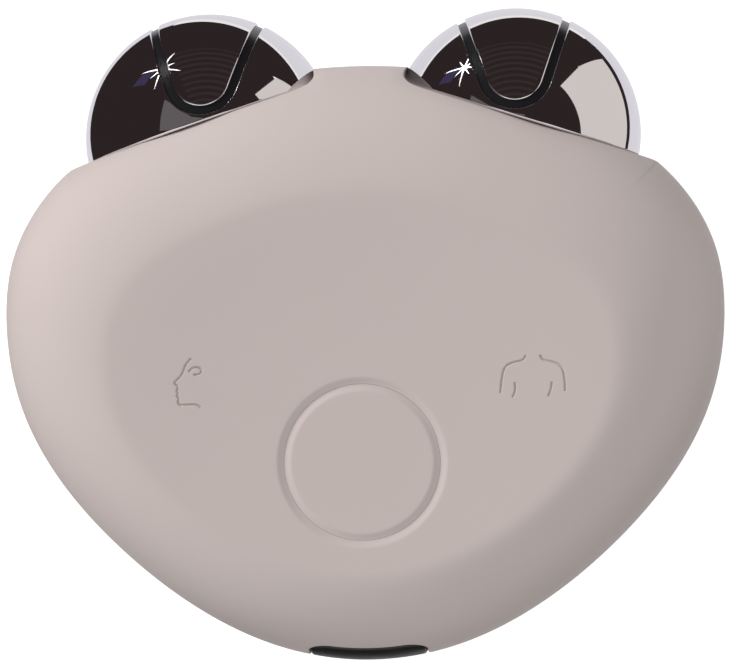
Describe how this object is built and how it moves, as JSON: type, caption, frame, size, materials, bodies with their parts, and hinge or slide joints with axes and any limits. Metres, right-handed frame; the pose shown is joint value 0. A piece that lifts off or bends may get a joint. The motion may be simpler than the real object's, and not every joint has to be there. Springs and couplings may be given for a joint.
{
  "type": "facial toning device",
  "caption": "Palm-sized facial toning device: rounded pebble body, twin chrome dome electrodes split by dark U grooves, round thumb button in a dish, covered charging port.",
  "frame": {"origin": "centre of the bounding box's footprint, on the surface that the device lies on", "axes": "+X to the device's right seen from the front, +Y from the tip towards the domes, +Z out of the button face"},
  "size_m": [0.085, 0.0769, 0.04],
  "materials": {
    "soft_touch": "warm taupe soft-touch, matte",
    "shell_plastic": "moulded",
    "seal_rubber": "moulded",
    "port_rubber": "smooth matte",
    "screw_steel": "zinc plated",
    "chip_black": "moulded",
    "groove_black": "moulded",
    "contact_brass": "plated",
    "dome_chrome": "mirror polished",
    "socket_steel": "plated",
    "board_green": "solder mask",
    "coil_copper": "enamelled wire",
    "led_clear": "clear resin",
    "guide_clear": "clear moulded",
    "cell_foil": "foil pouch",
    "motor_steel": "drawn",
    "weight_steel": "sintered",
    "lead_red": "insulated wire",
    "lead_black": "insulated wire"
  },
  "bodies": {
    "housing": {"front_skin": "soft_touch", "rear_skin": "soft_touch", "front_shell": "shell_plastic", "rear_shell": "shell_plastic", "case_seal": "seal_rubber", "case_screws": "screw_steel", "switch_body": "chip_black", "left_outer_electrode": "dome_chrome", "left_inner_electrode": "dome_chrome", "left_dome_insulator": "groove_black", "left_dome_seal": "seal_rubber", "left_contact_studs": "contact_brass", "right_outer_electrode": "dome_chrome", "right_inner_electrode": "dome_chrome", "right_dome_insulator": "groove_black", "right_dome_seal": "seal_rubber", "right_contact_studs": "contact_brass", "usb_receptacle": "socket_steel", "circuit_board": "board_green", "board_screws": "screw_steel", "board_chips": "chip_black", "boost_coil": "coil_copper", "mode_leds": "led_clear", "left_light_guide": "guide_clear", "right_light_guide": "guide_clear", "battery_cell": "cell_foil", "battery_pad": "seal_rubber", "battery_strap": "shell_plastic", "strap_screws": "screw_steel", "motor_can": "motor_steel", "motor_cradle": "shell_plastic", "left_electrode_leads": "lead_red", "right_electrode_leads": "lead_red", "battery_leads": "lead_black", "motor_leads": "lead_black"},
    "button": {"button_cap": "soft_touch", "button_key": "shell_plastic", "switch_plunger": "chip_black"},
    "cover": {"port_cover": "port_rubber"},
    "rotor": {"motor_shaft": "motor_steel", "eccentric_weight": "weight_steel"}
  },
  "joints": [
    {"name": "button_press", "type": "slide", "parent": "housing", "child": "button", "axis": [0, 0, -1], "range_m": [0, 0.0004], "stiffness_N_per_m": 2500},
    {"name": "port_cover_swing", "type": "hinge", "parent": "housing", "child": "cover", "pos_m": [0, -0.03845, 0.0215], "axis": [1, 0, 0], "range_deg": [0, 100]},
    {"name": "motor_spin", "type": "hinge", "parent": "housing", "child": "rotor", "pos_m": [0, 0.01205, 0.01], "axis": [1, 0, 0], "continuous": true}
  ]
}
